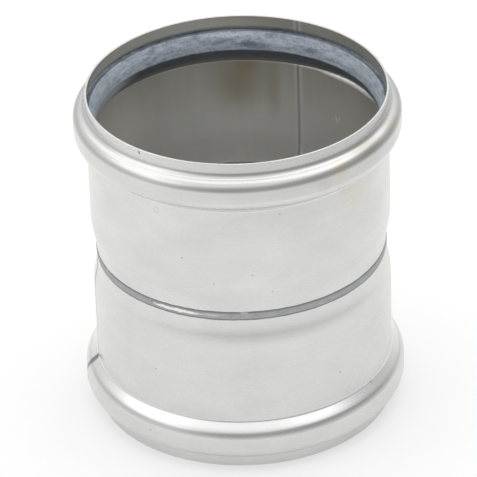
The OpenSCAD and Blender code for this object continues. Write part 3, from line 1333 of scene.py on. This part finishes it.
@dataclass
class Studio:
    """A pale floor, a pale sky, soft lamps, and a near grey screen that only gloss sees."""

    floor_m: float = 12.0
    floor_white: str = "#cfcfcf"
    floor_lift: float = 0.4
    sky: float = 0.84
    screen_sides: int = 96
    screen_foot_m: float = 0.2
    screen_brim_m: float = 0.68
    screen_high_m: float = 0.8
    screen_aside_m: float = -0.03
    screen_turn_deg: float = 40.0
    screen_front_deg: float = 50.0
    screen_side_deg: float = 100.0
    screen_front_top_deg: float = 40.0
    screen_side_top_deg: float = 21.0
    screen_fade_deg: float = 16.0
    screen_front_glow: float = 0.4
    screen_side_glow: float = 0.65
    screen_hem_m: float = 0.09
    screen_hem_share: float = 0.36
    eye_height_m: float = 0.05
    lamps: list[Softbox] = field(default_factory=lambda: [
        Softbox("softbox_top", (0, 0.5, 1.1), (0, 0.5, 0), 2.0, 1.5, 0.48),
        Softbox("softbox_left", (-0.85, -0.24, 0.73), (0, 0, 0.05), 1.0, 0.5, 0.46),
        Softbox("softbox_right", (0.64, -0.08, 0.98), (0, 0, 0.05), 0.9, 0.5, 0.22),
    ])

    def build(self) -> None:
        """Sets the whole studio up."""
        self.lay_floor()
        self.light_sky()
        self.stand_screen()
        for lamp in self.lamps:
            lamp.hang()

    def lay_floor(self) -> None:
        """Lays the floor, which renders white where light is even and keeps the shadow."""
        bpy.ops.object.select_all(action="DESELECT")
        bpy.ops.mesh.primitive_plane_add(size=self.floor_m)
        floor = bpy.context.object
        floor.name = "studio_floor"
        recipe = Recipe(bpy.data.materials.new("white paper floor"))
        diffuse = recipe.add("BsdfDiffuse", inputs={"Color": linear(self.floor_white)})
        lift = recipe.add("Emission", inputs={"Strength": self.floor_lift})
        both = recipe.add("AddShader", inputs={0: diffuse.outputs[0], 1: lift.outputs[0]})
        mix = recipe.add("MixShader", inputs={
            0: self.seen_rays(recipe), 1: diffuse.outputs[0], 2: both.outputs[0],
        })
        floor.data.materials.append(recipe.finish(mix))

    def seen_rays(self, recipe: Recipe) -> Socket:
        """A factor of 1 for what the camera, gloss and glass see, and 0 for light that falls on things."""
        path = recipe.add("LightPath")
        some = recipe.add("Math", {"operation": "MAXIMUM"}, {
            0: path.outputs["Is Camera Ray"], 1: path.outputs["Is Glossy Ray"],
        })
        every = recipe.add("Math", {"operation": "MAXIMUM"}, {
            0: some.outputs[0], 1: path.outputs["Is Transmission Ray"],
        })
        return every.outputs[0]

    def light_sky(self) -> None:
        """Makes the sky white to look at and a little less on what it lights."""
        recipe = Recipe(bpy.data.worlds.new("studio_sky"))
        glow = recipe.add("MapRange", inputs={
            "Value": self.seen_rays(recipe), "To Min": self.sky, "To Max": 1.0,
        })
        background = recipe.add("Background", inputs={"Color": (1, 1, 1, 1), "Strength": glow.outputs[0]})
        bpy.context.scene.world = recipe.finish(background)

    def stand_screen(self) -> None:
        """Stands the screen round the object, where only gloss sees it: near at its foot, and leaning outwards."""
        bpy.ops.object.select_all(action="DESELECT")
        bpy.ops.mesh.primitive_cone_add(
            vertices=self.screen_sides, radius1=self.screen_foot_m, radius2=self.screen_brim_m,
            depth=self.screen_high_m, end_fill_type="NOTHING",
            location=(self.screen_aside_m, 0, self.screen_high_m / 2),
        )
        screen = bpy.context.object
        screen.name = "studio_screen"
        bpy.ops.object.transform_apply(location=True)
        screen.data.materials.append(self.screen_cloth())
        screen.visible_camera = False
        screen.visible_diffuse = False
        screen.visible_shadow = False

    def screen_cloth(self) -> bpy.types.Material:
        """Grey cloth, thin at its hem and top: darkest and highest right of the camera, low and pale elsewhere."""
        recipe = Recipe(bpy.data.materials.new("grey screen"))
        place = recipe.add("TexCoord").outputs["Object"]
        turned = recipe.add("Mapping", {"vector_type": "TEXTURE"}, {
            "Vector": place, "Rotation": (0, 0, math.radians(self.screen_turn_deg) - math.pi / 2),
        })
        parts = recipe.add("SeparateXYZ", inputs={0: turned.outputs[0]})
        turn = recipe.add("Math", {"operation": "ARCTAN2"}, {0: parts.outputs["Y"], 1: parts.outputs["X"]})
        away = recipe.add("Math", {"operation": "ABSOLUTE"}, {0: turn.outputs[0]})
        top, glow = (
            recipe.add("MapRange", EASED, {
                "Value": away.outputs[0], "From Min": math.radians(self.screen_front_deg),
                "From Max": math.radians(self.screen_side_deg), "To Min": front, "To Max": side,
            })
            for front, side in (
                (math.radians(self.screen_front_top_deg), math.radians(self.screen_side_top_deg)),
                (self.screen_front_glow, self.screen_side_glow),
            )
        )
        height = recipe.add("Math", {"operation": "SUBTRACT"}, {0: parts.outputs["Z"], 1: self.eye_height_m})
        rise = recipe.add("Math", {"operation": "ARCTAN2"}, {0: height.outputs[0], 1: recipe.off_axis(parts)})
        over = recipe.add("Math", {"operation": "SUBTRACT"}, {0: rise.outputs[0], 1: top.outputs[0]})
        fade = math.radians(self.screen_fade_deg)
        thin_top = recipe.add("MapRange", EASED, {
            "Value": over.outputs[0], "From Min": -fade, "From Max": fade, **FALLING,
        })
        thin_hem = recipe.add("MapRange", EASED, {
            "Value": parts.outputs["Z"], "From Max": self.screen_hem_m, "To Min": self.screen_hem_share,
        })
        cloth = recipe.add("Math", {"operation": "MULTIPLY"}, {0: thin_top.outputs[0], 1: thin_hem.outputs[0]})
        clear = recipe.add("BsdfTransparent")
        grey = recipe.add("Emission", inputs={"Strength": glow.outputs[0]})
        return recipe.finish(recipe.add("MixShader", inputs={
            0: cloth.outputs[0], 1: clear.outputs[0], 2: grey.outputs[0],
        }))


# Stains and specks of the upper socket outside, as they lie on the photographed one, and painted shade over the
# groove's highlight
UPPER_OUTSIDE = (
    Mark(319, 30, 17, 17, "#d5d0bb", 0.42, 0.9),
    Mark(313, 33, 9, 5, "#cfcab2", 0.4, 0.8),
    Mark(300, 39, 7, 7, "#cfc0bc", 0.42, 0.9),
    Mark(307, 41, 9, 8, "#d8d3ba", 0.5, 0.8),
    # Partly a cream stain and partly painted shade, which dims the groove's highlight at its right end
    Mark(340, 42.5, 14, 7, "#cdc6b8", 0.5, 0.9),
    Mark(322, 42.8, 17, 5, "#bdb6a8", 0.6, 0.9),
    Mark(237.1, 30.6, 2.6, 2.6, "#c3c4c4", 0.5, 0.3),
    Mark(237.1, 30.6, 1.6, 1.6, "#d7d7d4", 1.0, 0.5),
    Mark(230.1, 35.4, 0.8, 0.9, "#8f8f8e", 0.7),
    Mark(284.5, 31.3, 0.8, 0.6, "#8f8f8e", 0.6),
    Mark(247.1, 17.6, 0.7, 0.7, "#8f8f8e", 0.6),
    Mark(259.2, 10.7, 0.6, 0.7, "#8f8f8e", 0.6),
    Mark(273.4, 13.5, 0.7, 0.6, "#8f8f8e", 0.6),
    Mark(281.0, 7.5, 0.8, 0.6, "#8f8f8e", 0.6),
    Mark(230.5, 46.6, 0.7, 1.3, "#5c5c5b", 0.8, 0.5, 20),
)
# The brown runs, the paler stretches, the specks and a painted highlight inside the upper socket
UPPER_INSIDE = (
    Mark(89, 27, 24, 28, "#9d9072", 0.65, 0.95),
    Mark(152, 20, 44, 46, "#f2f0eb", 0.75, 0.85),
    Mark(40, 22, 24, 26, "#e3e1db", 0.3, 0.9),
    Mark(75, 26, 7, 30, "#9c957c", 0.45, 0.95),
    Mark(86, 32, 12, 8, "#9a7d64", 0.4, 0.95),
    Mark(126, 45.6, 70, 6, "#e6e5de", 0.6, 0.5),
    Mark(64.5, 31, 0.9, 14, "#77767a", 0.5, 0.6),
    # Painted highlight: a white line along the ridge at the groove's foot, below the seal
    Mark(38, 33.0, 26, 1.3, "#ffffff", 1.0, 0.3),
    Mark(46.9, 19.6, 0.7, 3.4, "#f4f4f2", 1.0, 0.5, -18),
    Mark(45.6, 19.9, 0.6, 2.4, "#f4f4f2", 0.9, 0.5, 28),
    Mark(47.5, 24.3, 1.0, 1.2, "#dcdcd8", 0.6),
    Mark(51.4, 12.8, 0.9, 1.1, "#dcdcd8", 0.6),
)
# Specks of the lower socket outside
LOWER_OUTSIDE = (
    Mark(187.6, -34.6, 2.8, 5.0, "#8c8d8e", 0.8, 0.4),
    Mark(233.6, -20.3, 0.8, 0.8, "#8f8f8e", 0.6),
    Mark(308.4, -23.9, 0.9, 0.7, "#8f8f8e", 0.7),
    Mark(325.8, -33.2, 0.8, 0.8, "#8f8f8e", 0.6),
    Mark(311.8, -31.5, 0.8, 0.7, "#8f8f8e", 0.6),
    Mark(233.1, -38.4, 1.0, 0.8, "#8f8f8e", 0.5),
)
# Bright and dark stretches of the weld, as they lie on the photographed one
WELD_MARKS = (
    Mark(243, 0.1, 17, 1.0, "#f2f2f1", 0.95, 0.35),
    Mark(257, 0.2, 8, 0.9, "#d0d0cf", 0.7, 0.8),
    Mark(232, 0.4, 0.8, 1.6, "#7f8080", 0.6),
    Mark(270, 0.9, 3.0, 0.9, "#c6c6c4", 0.8, 0.5),
    Mark(203, 0.9, 1.4, 1.0, "#c6c6c4", 0.8),
)
# Pale and dark stretches of the upper seal, taken as thick bloom and as rubber wiped clean, and painted light under
# its lip
SEAL_MARKS = (
    Mark(162, 41, 16, 5, "#b4bbc2", 0.6, 0.9),
    Mark(150, 42, 7, 3, "#bcc2c9", 0.5, 0.9),
    Mark(27, 41, 16, 5, "#a9b1ba", 0.6, 0.9),
    Mark(37, 41.5, 4, 2, "#c3c9cf", 0.6, 0.9),
    Mark(97, 40.6, 15, 2.2, "#4f5962", 0.55, 0.9),
    Mark(85, 39.6, 12, 3.0, "#3f4a52", 0.7, 0.9),
    Mark(78, 38.9, 6, 1.8, "#3f4a52", 0.5, 0.9),
    Mark(71, 40.4, 5, 2.6, "#c4ccd4", 0.6, 0.9),
    Mark(92, 42.3, 22, 1.4, "#dfe5ec", 0.5, 0.6),
    Mark(56, 40.2, 12, 2.2, "#59626c", 0.5, 0.9),
    Mark(58, 41.9, 22, 0.35, "#c6ccd2", 0.7, 0.7),
    Mark(52, 41.3, 16, 0.25, "#c6ccd2", 0.6, 0.7),
    Mark(84, 37.9, 26, 0.3, "#98a2ab", 0.6, 0.8),
    # Painted light: the underside below the lip drawn paler in two lengths at the sides
    Mark(166, 36.4, 44, 8, "#a9b5bd", 0.95, 0.5),
    Mark(12, 36.6, 20, 5, "#7d8a93", 0.7, 0.9),
)


def main() -> None:
    """Builds the coupling and its studio."""
    logging.basicConfig(level=logging.INFO, format="%(message)s")
    bpy.context.scene.view_settings.view_transform = "Standard"
    PhotoCamera().place()
    Studio().build()
    sizes = Sizes.from_frame()
    upper = SocketShell(sizes, End.UPPER, "upper_socket", UPPER_SEAM_DEG, UPPER_OUTSIDE, UPPER_INSIDE)
    lower = SocketShell(sizes, End.LOWER, "lower_socket", LOWER_SEAM_DEG, LOWER_OUTSIDE)
    upper.build()
    lower.build()
    GirthWeld(sizes, sizes.wall_radius - upper.neck_step, WELD_MARKS).build()
    LipSeal(sizes, upper, "upper_seal", SEAL_MARKS).build()
    LipSeal(sizes, lower, "lower_seal").build()


if __name__ == "__main__":
    main()
